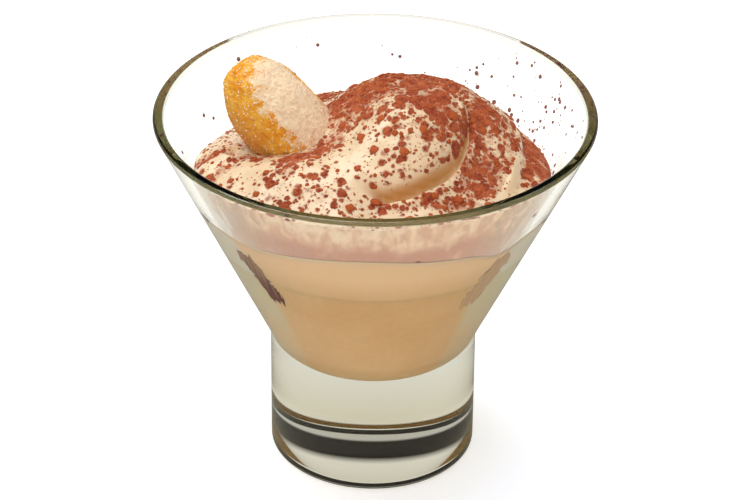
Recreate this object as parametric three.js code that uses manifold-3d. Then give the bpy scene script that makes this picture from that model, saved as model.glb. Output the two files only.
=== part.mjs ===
// A layered tiramisu dessert in its conical serving glass.
// Millimetres, +Z up. The origin is the middle of the glass foot, on the plane it rests on.
// From the bottom up: the glass, a coffee mousse, a thin cocoa layer, a piled cream with its
// spiral folds and cocoa clumps, and a sugared sponge biscuit pushed into the cream.
import * as THREE from 'three';
import { mergeVertices } from 'three/addons/utils/BufferGeometryUtils.js';
import Module from 'manifold-3d';

const wasm = await Module();
wasm.setup();

// ---- Driving dimensions -------------------------------------------------------------------

const GLASS_HEIGHT = 92.6;
const RIM_RADIUS = 53.38;         // of the cone's outer line, before its edge is rounded
const FOOT_RADIUS = 25.37;
const CREASE_HEIGHT = 33.55;      // where the solid foot turns into the open cone
const WALL_THICKNESS = 2.4;       // square to the cone
const LIP_RADIUS = 0.7;           // of both edges of the rim, with a narrow flat between them
const FOOT_EDGE_RADIUS = 2.0;     // round edge under the foot
const RECESS_RADIUS = 19.0;       // of the shallow hollow under the foot
const RECESS_DEPTH = 1.2;
const BOWL_FLOOR_HEIGHT = 28.0;   // thickness of the solid glass under the food
const BOWL_FLOOR_FILLET = 15.0;

const GAP = 0.3;                  // clear space between neighbouring pieces
const SECTORS = 64;               // divisions round the axis, the same on glass and food
const FLOOR_STEPS = 5;            // divisions of the bowl's floor
const RECESS_STEPS = 4;

const FILL_HEIGHT = 76.0;         // where the cream meets the glass
const LAYER_HEIGHT = 61.0;        // middle of the cocoa layer, at the axis
const LAYER_WALL_HEIGHT = 63.5;   // and at the glass
const LAYER_BACK_DIP = 6.0;       // how far it sags at the glass on both sides of the back
const LAYER_HALF = 0.55;          // half of the cocoa layer's thickness, with its gaps
const LAYER_HALF_FRONT = 7.5;     // the same in the two streaks where it shows at the front
const LAYER_HALF_BACK = 1.7;      // and where it shows at the back
const LAYER_STREAK = [43, 3, 4];  // degrees from the front to a streak, its half-width and its fade
const LAYER_BACK = 150;           // degrees from the front to where it shows at the back
const LAYER_BACK_WIDTH = 17;
const LAYER_INSET = 2.5;          // how far it stays back from the glass elsewhere
const LAYER_FLARE = 14;           // the higher, the closer to the glass it thickens

const SHOULDER_RISE = 3.0;        // the cream's round shoulder along the glass
const SHOULDER_REACH = 2.5;
const SPIRAL_CENTRE = [6.5, 4.0]; // the folds of the cream turn round this point
const CAP_RADIUS = 13.6;          // the inner fold: the edge of the top dollop, at the right
const CAP_GROWTH = 0.137;         // how much wider it winds towards the front, in mm a degree
const CAP_TURN = [-100, 14, 16];  // the azimuths that the fold runs between, and its fade
const CAP_DROP = [2.0, 3.3];      // how far its flank falls into the crease, right and front
const CAP_DROP_TURN = [-35, 10];  // the azimuths between which the one becomes the other
const CAP_ROLL = 2.8;             // width of the rolled flank
// The ledge of cream beyond the crease, and the thin raised edge on the dollop's right side.
const LEDGE = { height: 0.9, past: 1.8, width: 1.3, turn: [-102, -22, 20] };
const BEAD = { height: 0.7, past: -1.0, width: 0.9, turn: [-22, 14, 12] };
const CAP_FADE = 8.0;             // how far the inner fold's drop takes to level out
const FOLD_RADIUS = 28.4;         // the outer fold, on the right
const FOLD_SHRINK = 0.1;          // millimetres a degree
const FOLD_DROP = 2.4;
const FOLD_ROLL = 1.5;            // half the width of its step
const FOLD_FADE = 7.0;
const FOLD_TURN = [-25, 38, 20];

const BISCUIT_CENTRE = [-23.1, 4.0, 88.6];
const BISCUIT_AXIS = [-0.6, 0.05, 0.8];
const BISCUIT_HALF = [16.8, 10.0, 10.4];      // along its axis, along Y, and through its thickness
const BISCUIT_FULLNESS = 0.82;    // 1 is an ellipsoid, lower is fuller at the ends
const BISCUIT_TAPER = 0.08;       // wider at the end that is sunk in the cream
const BISCUIT_BUMP = 0.35;        // relief of the baked crust

const CLUMP_COUNT = 64;
const CLUMP_SIZE = [1.5, 0.75];   // largest and smallest radius of a cocoa clump
const CLUMP_HEIGHT = 0.32;        // its height as a share of its radius
const CLUMP_STRETCH = 1.15;       // its length, in radii
const CLUMP_SPACING = 2.0;        // distance between clumps in radii
const CLUMP_TRIES = 40;           // draws for each clump before the cream counts as full
const CLUMP_GLASS_MARGIN = 4.0;   // clumps keep this far from the glass
const CLUMP_BISCUIT_MARGIN = 3.0; // and this far from the biscuit
const CLUMP_SEED = 20;
const BARE_FLANK = [-2.4, 1.5];   // no clump lies this close to the dollop's edge, inside and out,
const BARE_TURN = [-98, -15];     // between these azimuths round the spiral

// How the fill line waves round the glass: azimuth and half-width in degrees, and rise.
const FILL_WAVES = [
  { at: -92, width: 21, rise: 2.4 },    // front
  { at: -130, width: 12, rise: -0.8 },  // front left
  { at: -47, width: 9, rise: -3.0 },    // front right
  { at: 180, width: 30, rise: 1.1 },    // left
  { at: 150, width: 22, rise: -1.2 },   // left, further back
  { at: 25, width: 28, rise: -2.5 },    // right
  { at: 90, width: 50, rise: -1.5 },    // back
];

// Broad lobes of cream: centre, half-widths along and across, turn in degrees, height, fullness.
const LOBES = [
  { x: 6, y: 6.4, along: 22, across: 21, turn: -16, height: 17.3, power: 2.4 },   // main mound
  { x: 7, y: -12, along: 13, across: 11, turn: 0, height: 6.0, power: 2.6 },      // its front flank
  { x: 27.5, y: 4, along: 14.6, across: 13.9, turn: 25, height: 7.0, power: 2 },  // right
  { x: -18, y: -16, along: 17, across: 10, turn: -28, height: 6.5, power: 2 },    // front left
  { x: -35, y: 1, along: 8, across: 8, turn: 0, height: 1.5, power: 2 },          // left
];

// ---- Small maths --------------------------------------------------------------------------

const radians = THREE.MathUtils.degToRad;
const degrees = THREE.MathUtils.radToDeg;
const clamp = THREE.MathUtils.clamp;
const lerp = THREE.MathUtils.lerp;
const smooth = (from, to, value) => THREE.MathUtils.smoothstep(value, from, to);
const bell = (distance, width) => Math.exp(-((distance / width) ** 2));

// Difference between two azimuths in degrees, from -180 to 180.
function turnBetween(a, b) {
  return THREE.MathUtils.euclideanModulo(a - b + 180, 360) - 180;
}

// 1 between two angles in degrees, falling softly to 0 over a shoulder on each side.
function between(angle, from, to, shoulder) {
  return smooth(from - shoulder, from, angle) * (1 - smooth(to, to + shoulder, angle));
}

// Repeatable random numbers from 0 to 1.
function randomFrom(seed) {
  let state = seed >>> 0;
  return () => {
    state = (state + 0x6d2b79f5) >>> 0;
    let t = Math.imul(state ^ (state >>> 15), 1 | state);
    t = (t + Math.imul(t ^ (t >>> 7), 61 | t)) ^ t;
    return ((t ^ (t >>> 14)) >>> 0) / 2 ** 32;
  };
}

// ---- The glass ----------------------------------------------------------------------------

const CONE_SLOPE = (RIM_RADIUS - FOOT_RADIUS) / (GLASS_HEIGHT - CREASE_HEIGHT);
const CONE_SECANT = Math.hypot(1, CONE_SLOPE);

// Radius of the cone at a height, a given distance inside its outer face.
function coneRadius(height, inside) {
  return FOOT_RADIUS + CONE_SLOPE * (height - CREASE_HEIGHT) - inside * CONE_SECANT;
}

// Radius that the food fills at a height.
const foodRadius = (height) => coneRadius(height, WALL_THICKNESS + GAP);

// Points of an arc in the profile plane, from one angle to another in degrees.
function arc(centreR, centreZ, radius, from, to, steps) {
  return Array.from({ length: steps + 1 }, (_, i) => {
    const angle = radians(lerp(from, to, i / steps));
    return new THREE.Vector2(centreR + radius * Math.cos(angle), centreZ + radius * Math.sin(angle));
  });
}

// The bowl's floor from its centre to where it joins the cone, raised and shrunk by an offset.
function bowlFloor(offset, steps) {
  const tilt = degrees(Math.atan(CONE_SLOPE));
  const radius = BOWL_FLOOR_FILLET - offset;
  const centreZ = BOWL_FLOOR_HEIGHT + BOWL_FLOOR_FILLET;
  const centreR = coneRadius(centreZ, WALL_THICKNESS + BOWL_FLOOR_FILLET);
  return [
    new THREE.Vector2(0, BOWL_FLOOR_HEIGHT + offset),
    ...arc(centreR, centreZ, radius, -90, -tilt, steps),
  ];
}

function glassGeometry() {
  const tilt = degrees(Math.atan(CONE_SLOPE));
  const lipZ = GLASS_HEIGHT - LIP_RADIUS;
  const edge = FOOT_EDGE_RADIUS;
  const recess = Array.from({ length: RECESS_STEPS + 1 }, (_, i) => {
    const share = i / RECESS_STEPS;
    return new THREE.Vector2(RECESS_RADIUS * share, RECESS_DEPTH * (1 - share ** 2));
  });
  const profile = [
    ...recess,
    ...arc(FOOT_RADIUS - edge, edge, edge, -90, 0, 3),
    new THREE.Vector2(FOOT_RADIUS, CREASE_HEIGHT),
    ...arc(coneRadius(lipZ, LIP_RADIUS), lipZ, LIP_RADIUS, -tilt, 90, 2),
    ...arc(coneRadius(lipZ, WALL_THICKNESS - LIP_RADIUS), lipZ, LIP_RADIUS, 90, 180 - tilt, 2),
    ...bowlFloor(0, FLOOR_STEPS).reverse(),
  ];
  const geometry = new THREE.LatheGeometry(profile, SECTORS);
  geometry.rotateX(Math.PI / 2);
  return geometry;
}

// ---- The food's surfaces ------------------------------------------------------------------

// Height of the line where the cream meets the glass, by azimuth in degrees.
function fillLine(azimuth) {
  return FILL_WAVES.reduce(
    (height, wave) => height + wave.rise * bell(turnBetween(azimuth, wave.at), wave.width),
    FILL_HEIGHT,
  );
}

function lobeHeight(lobe, x, y) {
  const turn = radians(lobe.turn);
  const along = (x - lobe.x) * Math.cos(turn) + (y - lobe.y) * Math.sin(turn);
  const across = (y - lobe.y) * Math.cos(turn) - (x - lobe.x) * Math.sin(turn);
  const reach = Math.hypot(along / lobe.along, across / lobe.across);
  return lobe.height * Math.exp(-(reach ** lobe.power));
}

// How far a place is outside the dollop's edge.
function pastCap(distance, angle) {
  return distance - CAP_RADIUS - CAP_GROWTH * clamp(-angle, 0, -CAP_TURN[0]);
}

// The inner fold: the dollop's flank rolls down into a crease, with raised edges beside it.
function capFold(distance, angle) {
  const past = pastCap(distance, angle);
  const flank = clamp((past + CAP_ROLL) / CAP_ROLL, 0, 1) ** 2.6;
  const depth = lerp(...CAP_DROP, 1 - smooth(...CAP_DROP_TURN, angle));
  const drop = depth * flank * Math.exp(-Math.max(past, 0) / CAP_FADE);
  const raised = [LEDGE, BEAD].reduce(
    (sum, edge) => sum + edge.height * bell(past - edge.past, edge.width) * between(angle, ...edge.turn),
    0,
  );
  return between(angle, ...CAP_TURN) * (raised - drop);
}

// The outer fold, a soft step down towards the glass on the right.
function outerFold(distance, angle) {
  const past = distance - (FOLD_RADIUS - FOLD_SHRINK * angle);
  const step = smooth(-FOLD_ROLL, FOLD_ROLL, past) * Math.exp(-Math.max(past, 0) / FOLD_FADE);
  return -FOLD_DROP * between(angle, ...FOLD_TURN) * step;
}

// Distance from the spiral's centre, and azimuth round it in degrees.
function roundSpiral(x, y) {
  const [cx, cy] = SPIRAL_CENTRE;
  return [Math.hypot(x - cx, y - cy), degrees(Math.atan2(y - cy, x - cx))];
}

// Height of the cream's top at a place.
function creamTop(x, y) {
  const radius = Math.hypot(x, y);
  const line = fillLine(degrees(Math.atan2(y, x)));
  const reach = coneRadius(line, WALL_THICKNESS + GAP);
  const level = lerp(FILL_HEIGHT, line, clamp(radius / reach, 0, 1) ** 5);
  const shoulder = SHOULDER_RISE * (1 - Math.exp(-Math.max(reach - radius, 0) / SHOULDER_REACH));
  const lobes = LOBES.reduce((sum, lobe) => sum + lobeHeight(lobe, x, y), 0);
  const [distance, angle] = roundSpiral(x, y);
  return level + shoulder + lobes + capFold(distance, angle) + outerFold(distance, angle);
}

// How strongly the cocoa layer shows at the glass, from 0 to 1, by azimuth in degrees: in a
// streak on each side of the front, and again towards the back.
function shownInStreaks(azimuth) {
  const fromFront = Math.abs(turnBetween(azimuth, -90));
  const [middle, half, shoulder] = LAYER_STREAK;
  return between(fromFront, middle - half, middle + half, shoulder);
}

function shownAtBack(azimuth) {
  return bell(Math.abs(turnBetween(azimuth, -90)) - LAYER_BACK, LAYER_BACK_WIDTH);
}

// Middle height of the cocoa layer, by azimuth and share of the radius.
function layerMiddle(azimuth, share) {
  const fromFront = Math.abs(turnBetween(azimuth, -90));
  const atWall = LAYER_WALL_HEIGHT - LAYER_BACK_DIP * bell(fromFront - LAYER_BACK, LAYER_BACK_WIDTH);
  return lerp(LAYER_HEIGHT, atWall, share ** 2);
}

// Half the layer's thickness: it thins out before the glass, except where it shows there.
function layerHalf(azimuth, share) {
  const thin = share <= 1 ? GAP : GAP / 2;
  const back = lerp(thin, LAYER_HALF_BACK, shownAtBack(azimuth));
  const atEdge = lerp(back, LAYER_HALF_FRONT, shownInStreaks(azimuth));
  return share <= 1 ? lerp(LAYER_HALF, atEdge, share ** LAYER_FLARE) : atEdge;
}

// A ring of points on a surface of the layer. side is 1 above the middle and -1 below it, clear
// is the distance kept from it, and share runs from 0 at the axis to 1 at the cocoa's edge.
function layerRing(share, side, clear) {
  return Array.from({ length: SECTORS }, (_, i) => {
    const turn = (i / SECTORS) * 2 * Math.PI;
    const azimuth = degrees(turn);
    const offset = side * (layerHalf(azimuth, share) + clear);
    const height = layerMiddle(azimuth, Math.min(share, 1)) + offset;
    const shown = Math.max(shownInStreaks(azimuth), shownAtBack(azimuth));
    const inset = share > 1 ? 0 : lerp(LAYER_INSET, 2 * GAP, clamp(2 * shown, 0, 1));
    const radius = Math.min(share, 1) * (foodRadius(height) - inset);
    return [radius * Math.cos(turn), radius * Math.sin(turn), height];
  });
}

const LAYER_SHARES = [0.35, 0.62, 0.82, 0.93, 1];
const AT_GLASS = 2;               // a share that stands for the glass

const fromAxis = ([x, y]) => Math.hypot(x, y);

// A closed solid from rings that run from the lower pole to the upper one. Each quad is split
// from its inner corner to the next outer one, so that facing surfaces are split alike.
function solidFromRings(lower, rings, upper) {
  const positions = [lower, ...rings.flat(), upper].flat();
  const last = 1 + rings.length * SECTORS;
  const index = [];
  const at = (ring, i) => 1 + ring * SECTORS + (i % SECTORS);
  for (let i = 0; i < SECTORS; i += 1) {
    index.push(0, at(0, i + 1), at(0, i));
    index.push(last, at(rings.length - 1, i), at(rings.length - 1, i + 1));
  }
  for (let ring = 0; ring + 1 < rings.length; ring += 1) {
    for (let i = 0; i < SECTORS; i += 1) {
      const [a, b] = [at(ring, i), at(ring, i + 1)];
      const [c, d] = [at(ring + 1, i), at(ring + 1, i + 1)];
      const outwards = fromAxis(rings[ring][i]) < fromAxis(rings[ring + 1][i]);
      index.push(...(outwards ? [a, b, d, a, d, c] : [a, b, c, b, d, c]));
    }
  }
  const geometry = new THREE.BufferGeometry();
  geometry.setAttribute('position', new THREE.Float32BufferAttribute(positions, 3));
  geometry.setIndex(index);
  return geometry;
}

function axisPoint(side, clear) {
  return [0, 0, layerMiddle(0, 0) + side * (layerHalf(0, 0) + clear)];
}

// The lower mousse: the bowl's floor, then the cone, then the underside of the cocoa.
function mousseGeometry() {
  const floor = bowlFloor(GAP, FLOOR_STEPS);
  const floorRings = floor.slice(1).map((point) => Array.from({ length: SECTORS }, (_, i) => {
    const turn = (i / SECTORS) * 2 * Math.PI;
    return [point.x * Math.cos(turn), point.x * Math.sin(turn), point.y];
  }));
  const topShares = [AT_GLASS, ...[...LAYER_SHARES].reverse()];
  const topRings = topShares.map((share) => layerRing(share, -1, GAP / 2));
  return solidFromRings([0, 0, floor[0].y], [...floorRings, ...topRings], axisPoint(-1, GAP / 2));
}

// The cocoa between the two layers.
function cocoaLayerGeometry() {
  const lower = LAYER_SHARES.map((share) => layerRing(share, -1, -GAP / 2));
  const upper = [...LAYER_SHARES].reverse().map((share) => layerRing(share, 1, -GAP / 2));
  return solidFromRings(axisPoint(-1, -GAP / 2), [...lower, ...upper], axisPoint(1, -GAP / 2));
}

// Rings of the cream's top, from the glass in to the middle of its spiral, closest together
// where the folds are.
const TOP_SHARES = [
  1, 0.975, 0.94, 0.89, 0.835, 0.78, 0.73, 0.68, 0.635, 0.595, 0.555, 0.52, 0.485,
  0.45, 0.415, 0.38, 0.34, 0.29, 0.235, 0.17, 0.09,
];

function creamTopRing(share) {
  return Array.from({ length: SECTORS }, (_, i) => {
    const turn = (i / SECTORS) * 2 * Math.PI;
    const height = fillLine(degrees(turn));
    const radius = foodRadius(height);
    const x = lerp(SPIRAL_CENTRE[0], radius * Math.cos(turn), share);
    const y = lerp(SPIRAL_CENTRE[1], radius * Math.sin(turn), share);
    return [x, y, share === 1 ? height : creamTop(x, y)];
  });
}

function creamGeometry() {
  const underside = [...LAYER_SHARES, AT_GLASS].map((share) => layerRing(share, 1, GAP / 2));
  const top = TOP_SHARES.map(creamTopRing);
  const peak = [...SPIRAL_CENTRE, creamTop(...SPIRAL_CENTRE)];
  return solidFromRings(axisPoint(1, GAP / 2), [...underside, ...top], peak);
}

// ---- The biscuit --------------------------------------------------------------------------

// A stub of sponge finger: a full, slightly tapered ellipsoid with baked bumps.
function biscuitGeometry(clearance) {
  const geometry = new THREE.SphereGeometry(1, 30, 20);
  const axis = new THREE.Vector3(...BISCUIT_AXIS).normalize();
  const side = new THREE.Vector3(0, 1, 0);
  side.addScaledVector(axis, -side.dot(axis)).normalize();
  const thick = new THREE.Vector3().crossVectors(side, axis);
  const centre = new THREE.Vector3(...BISCUIT_CENTRE);
  const position = geometry.getAttribute('position');
  const point = new THREE.Vector3();
  for (let i = 0; i < position.count; i += 1) {
    point.fromBufferAttribute(position, i);
    const along = Math.sign(point.y) * Math.abs(point.y) ** BISCUIT_FULLNESS;
    const round = Math.hypot(point.x, point.z);
    const swell = round > 1e-6 ? round ** (BISCUIT_FULLNESS - 1) : 0;
    const bump = BISCUIT_BUMP * Math.sin(5.1 * point.x + 3 * point.y)
      * Math.sin(6.3 * point.z - 4.2 * point.y);
    const taper = 1 - BISCUIT_TAPER * along;
    const [long, wide, deep] = BISCUIT_HALF.map((half) => half + clearance + bump);
    const placed = centre.clone()
      .addScaledVector(axis, long * along)
      .addScaledVector(side, wide * taper * swell * point.x)
      .addScaledVector(thick, deep * taper * swell * point.z);
    position.setXYZ(i, placed.x, placed.y, placed.z);
  }
  return geometry;
}

// ---- Joining and cutting ------------------------------------------------------------------

// A closed geometry with its doubled points merged and its faces pointing outwards.
function closed(geometry) {
  const bare = geometry.clone();
  bare.deleteAttribute('normal');
  bare.deleteAttribute('uv');
  return mergeVertices(bare, 1e-4);
}

function toSolid(geometry) {
  const bare = closed(geometry);
  return new wasm.Manifold(new wasm.Mesh({
    numProp: 3,
    vertProperties: new Float32Array(bare.getAttribute('position').array),
    triVerts: new Uint32Array(bare.getIndex().array),
  }));
}

function toGeometry(solid) {
  const mesh = solid.getMesh();
  const geometry = new THREE.BufferGeometry();
  geometry.setAttribute('position', new THREE.Float32BufferAttribute(mesh.vertProperties, 3));
  geometry.setIndex(new THREE.Uint32BufferAttribute(mesh.triVerts, 1));
  return geometry;
}

// ---- Cocoa clumps -------------------------------------------------------------------------

// The cream's outward normal at a place.
function creamNormal(x, y) {
  const step = 0.5;
  const slopeX = (creamTop(x + step, y) - creamTop(x - step, y)) / (2 * step);
  const slopeY = (creamTop(x, y + step) - creamTop(x, y - step)) / (2 * step);
  return new THREE.Vector3(-slopeX, -slopeY, 1).normalize();
}

// True on the dollop's bare flank, where no cocoa fell.
function onBareFlank(x, y) {
  const [distance, angle] = roundSpiral(x, y);
  const past = pastCap(distance, angle);
  const near = past > BARE_FLANK[0] && past < BARE_FLANK[1];
  return near && angle > BARE_TURN[0] && angle < BARE_TURN[1];
}

// Places for the clumps, largest first, spread over the cream and clear of glass and biscuit.
function clumpPlaces() {
  const random = randomFrom(CLUMP_SEED);
  const places = [];
  const reach = foodRadius(FILL_HEIGHT) - CLUMP_GLASS_MARGIN;
  const biscuit = new THREE.Vector2(BISCUIT_CENTRE[0] + CLUMP_BISCUIT_MARGIN, BISCUIT_CENTRE[1]);
  const fits = (place, size) => (
    !onBareFlank(place.x, place.y)
    && place.distanceTo(biscuit) > BISCUIT_HALF[1] + CLUMP_BISCUIT_MARGIN + size
    && places.every((other) => other.at.distanceTo(place) >= CLUMP_SPACING * (other.size + size))
  );
  for (let tries = 0; places.length < CLUMP_COUNT && tries < CLUMP_TRIES * CLUMP_COUNT; tries += 1) {
    const size = lerp(...CLUMP_SIZE, Math.sqrt(places.length / CLUMP_COUNT));
    const turn = random() * 2 * Math.PI;
    const radius = reach * Math.sqrt(random());
    const place = new THREE.Vector2(radius * Math.cos(turn), radius * Math.sin(turn));
    if (fits(place, size)) {
      places.push({ at: place, size, turn: random() * Math.PI });
    }
  }
  return places;
}

// One clump: a low twenty-sided lump, longer than wide, half sunk in the cream.
function clumpSolid({ at, size, turn }) {
  const geometry = new THREE.IcosahedronGeometry(1, 0);
  geometry.scale(size * CLUMP_STRETCH, size / CLUMP_STRETCH, size * CLUMP_HEIGHT);
  geometry.rotateZ(turn);
  const up = new THREE.Vector3(0, 0, 1);
  geometry.applyQuaternion(new THREE.Quaternion().setFromUnitVectors(up, creamNormal(at.x, at.y)));
  geometry.translate(at.x, at.y, creamTop(at.x, at.y));
  return toSolid(geometry);
}

function creamWithClumps() {
  const socket = toSolid(biscuitGeometry(GAP));
  const clumps = clumpPlaces().map(clumpSolid);
  const whole = wasm.Manifold.union([toSolid(creamGeometry()), ...clumps]);
  return toGeometry(whole.subtract(socket));
}

// ---- The assembled dessert ----------------------------------------------------------------

const dessert = new THREE.Group();

function addPiece(name, geometry, material) {
  const mesh = new THREE.Mesh(geometry, new THREE.MeshStandardMaterial(material));
  mesh.name = name;
  dessert.add(mesh);
}

addPiece('glass', closed(glassGeometry()), {
  color: 0xdfe3d8, roughness: 0.05, metalness: 0, transparent: true, opacity: 0.35,
});
addPiece('coffee_mousse', mousseGeometry(), { color: 0xbf9b6a, roughness: 0.6, metalness: 0 });
addPiece('cocoa_layer', cocoaLayerGeometry(), { color: 0x6f3a22, roughness: 0.95, metalness: 0 });
addPiece('cream', creamWithClumps(), { color: 0xefd6a6, roughness: 0.55, metalness: 0 });
addPiece('biscuit', closed(biscuitGeometry(0)), { color: 0xe2a84f, roughness: 0.9, metalness: 0 });

export default dessert;
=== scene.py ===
"""A layered tiramisu in its conical glass: the finished look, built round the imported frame."""

import math
from functools import partial

import bpy
import numpy as np
from bpy.props import FloatProperty, FloatVectorProperty, IntProperty, PointerProperty
from mathutils import Matrix, Vector, noise


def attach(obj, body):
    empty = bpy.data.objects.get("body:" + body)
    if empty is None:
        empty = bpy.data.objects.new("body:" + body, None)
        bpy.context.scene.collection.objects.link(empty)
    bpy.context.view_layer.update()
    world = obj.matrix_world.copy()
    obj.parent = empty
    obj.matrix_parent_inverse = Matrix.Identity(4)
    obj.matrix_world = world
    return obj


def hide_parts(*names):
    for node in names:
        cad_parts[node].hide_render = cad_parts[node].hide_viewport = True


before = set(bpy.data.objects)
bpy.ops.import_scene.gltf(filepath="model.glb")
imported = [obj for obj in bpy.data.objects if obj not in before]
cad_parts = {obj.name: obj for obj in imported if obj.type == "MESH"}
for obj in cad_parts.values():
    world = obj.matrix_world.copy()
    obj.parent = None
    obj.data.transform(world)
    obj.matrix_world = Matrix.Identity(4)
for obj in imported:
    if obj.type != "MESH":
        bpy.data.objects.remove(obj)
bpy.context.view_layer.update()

bl_info = {
    "name": "Tiramisu in its glass",
    "version": (1, 0, 0),
    "blender": (4, 5, 0),
    "location": "3D View > Sidebar > Dessert",
    "description": "Builds the glass, the layers, the biscuit and the cocoa of a tiramisu",
    "category": "Add Mesh",
}

MM = 0.001

# ---- Sizes in millimetres, the same as the solids' ------------------------------------------

CREASE_HEIGHT = 33.55       # where the solid foot turns into the cone
FOOT_RADIUS = 25.37
RIM_RADIUS = 53.38          # of the cone's outer line, before its edge is rounded
GLASS_HEIGHT = 92.6
WALL_THICKNESS = 2.4
LIP_RADIUS = 0.7            # of both edges of the rim, with a narrow flat between them
FOOT_EDGE_RADIUS = 2.0
RECESS_RADIUS = 19.0        # of the shallow hollow under the foot
RECESS_DEPTH = 1.2
BOWL_FLOOR_HEIGHT = 28.0
BOWL_FLOOR_FILLET = 15.0
CREASE_ROUNDING = 0.8       # the pressed glass has no sharp inner corners
SOLID_GAP = 0.3             # between neighbouring solids
INTO_GLASS = 0.08           # how far the food reaches into the wall, so that no air shows

FILL_HEIGHT = 76.0
LAYER_HEIGHT = 61.0         # middle of the cocoa layer, at the axis
LAYER_WALL_HEIGHT = 63.5    # and at the glass
LAYER_BACK_DIP = 6.0
LAYER_HALF = 0.55           # half its thickness inside the food
LAYER_HALF_FRONT = 7.5      # in the two streaks where it shows at the front
LAYER_HALF_BACK = 1.7       # and where it shows at the back
LAYER_STREAK = (43, 3, 4)   # degrees from the front to a streak, its half-width and its fade
LAYER_LEAN = 3.4            # degrees that a streak's ends lean, away from the front at its top
LAYER_BACK = 150            # degrees from the front to where it shows at the back
LAYER_BACK_WIDTH = 17
LAYER_FLARE = 14            # the higher, the closer to the glass it thickens
LAYER_INSET = 2.5

SHOULDER_RISE = 3.0
SHOULDER_REACH = 2.5
SPIRAL_CENTRE = (6.5, 4.0)
CAP_RADIUS = 13.6
CAP_GROWTH = 0.137          # in mm a degree
CAP_TURN = (-100, 14, 16)
CAP_DROP = (2.0, 3.3)
CAP_DROP_TURN = (-35, 10)
CAP_ROLL = 2.8
CAP_CURVE = 2.6             # the higher, the rounder the flank's upper part
CAP_FADE = 8.0
FOLD_RADIUS = 28.4
FOLD_SHRINK = 0.1
FOLD_DROP = 2.4
FOLD_ROLL = 1.5
FOLD_FADE = 7.0
FOLD_TURN = (-25, 38, 20)

# The ledge of cream beyond the crease and the thin raised edge on the dollop: height, how far
# past the dollop's edge, width, and the azimuths between which it runs, with its fade.
RAISED_EDGES = ((0.9, 1.8, 1.3, (-102, -22, 20)), (0.7, -1.0, 0.9, (-22, 14, 12)))

BISCUIT_CENTRE = (-23.1, 4.0, 88.6)
BISCUIT_AXIS = (-0.6, 0.05, 0.8)
BISCUIT_HALF = (16.8, 10.0, 10.4)
BISCUIT_FULLNESS = 0.82
BISCUIT_TAPER = 0.08
BISCUIT_BUMP = 0.35

CLUMP_COUNT = 64
CLUMP_SIZE = (1.5, 0.75)
CLUMP_HEIGHT = 0.32
CLUMP_SPACING = 2.0
CLUMP_TRIES = 40
CLUMP_GLASS_MARGIN = 4.0
CLUMP_BISCUIT_MARGIN = 3.0
CLUMP_SEED = 20
BARE_FLANK = (-2.4, 1.5)
BARE_TURN = (-98, -15)

SMEAR_REACH = 66            # degrees to each side of its middle
SMEAR_MIDDLE = -84
SMEAR_TOP = 90.0
SMEAR_THICKNESS = 0.3
SMEAR_GAP = 0.03            # the film's skin of air against the glass

# How the fill line waves round the glass: azimuth and half-width in degrees, and rise.
FILL_WAVES = (
    (-92, 21, 2.4),
    (-130, 12, -0.8),
    (-47, 9, -3.0),
    (180, 30, 1.1),
    (150, 22, -1.2),
    (25, 28, -2.5),
    (90, 50, -1.5),
)

# Broad lobes of cream: centre x and y, half-widths along and across, turn in degrees, height
# and fullness.
LOBES = (
    (6, 6.4, 22, 21, -16, 17.3, 2.4),
    (7, -12, 13, 11, 0, 6.0, 2.6),
    (27.5, 4, 14.6, 13.9, 25, 7.0, 2),
    (-18, -16, 17, 10, -28, 6.5, 2),
    (-35, 1, 8, 8, 0, 1.5, 2),
)

# Where the cocoa lies thick or is missing: centre x and y, half-widths, turn in degrees, and how
# much it adds or takes away.
DUST_DRIFTS = (
    (-8, 5, 7, 8, 0, 0.42),
    (10, 8, 16, 8, -4, 0.75),
    (17, -6, 7, 4.5, -20, 0.42),
    (6, -8, 9, 4, -8, 0.22),
    (13, -13, 9, 4, -8, 0.10),
    (0, 2, 9, 3.5, 12, 0.20),
    (-16, -11, 10, 4.2, 30, 0.55),
    (24, -2, 3, 7, -15, 0.50),
    (25, -16, 5, 4, 40, 0.30),
    (31, -1, 4, 5, 0, 0.22),
    (37, -1, 4, 9, 0, 0.42),
    (25, -14, 9, 3.4, 53, 0.60),
    (14, -23, 7, 2.4, 10, 0.35),
    (41.5, 2, 3.4, 13, 0, 0.90),
    (-40, -3, 5, 6, 0, 0.30),
    (-30, -5, 3, 2.5, -30, 0.35),
    (-14, -26, 15, 6, 0, 0.12),
    (-5, -13, 7, 4.5, 20, -0.24),
    (-29, -13, 5, 4, 0, -0.26),
)
DUST_EVERYWHERE = 0.42

# ---- Small maths ----------------------------------------------------------------------------


def smooth(start, end, value):
    """0 before start, 1 after end, and a smooth step between them."""
    t = np.clip((value - start) / (end - start), 0, 1)
    return t * t * (3 - 2 * t)


def bell(distance, width):
    """A bell curve that is 1 at distance 0."""
    return np.exp(-((distance / width) ** 2))


def mix(a, b, share):
    """The value a given share of the way from a to b."""
    return a + (b - a) * share


def turn_between(a, b):
    """The difference between two azimuths in degrees, from -180 to 180."""
    return (a - b + 180) % 360 - 180


def between(angle, start, end, shoulder):
    """1 between two angles, falling softly to 0 over a shoulder on each side."""
    return smooth(start - shoulder, start, angle) * (1 - smooth(end, end + shoulder, angle))


def oval(x, y, cx, cy, along, across, turn):
    """How far a place is from an oval's centre, in half-widths of the oval."""
    angle = math.radians(turn)
    u = (x - cx) * math.cos(angle) + (y - cy) * math.sin(angle)
    v = (y - cy) * math.cos(angle) - (x - cx) * math.sin(angle)
    return np.hypot(u / along, v / across)


def lumps(points, size, octaves=3):
    """Smooth noise from about -1 to 1 at each point, with lumps of a size in millimetres."""
    return np.array([noise.fractal(Vector(p) / size, 0.6, 2.0, octaves) for p in points])


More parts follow.
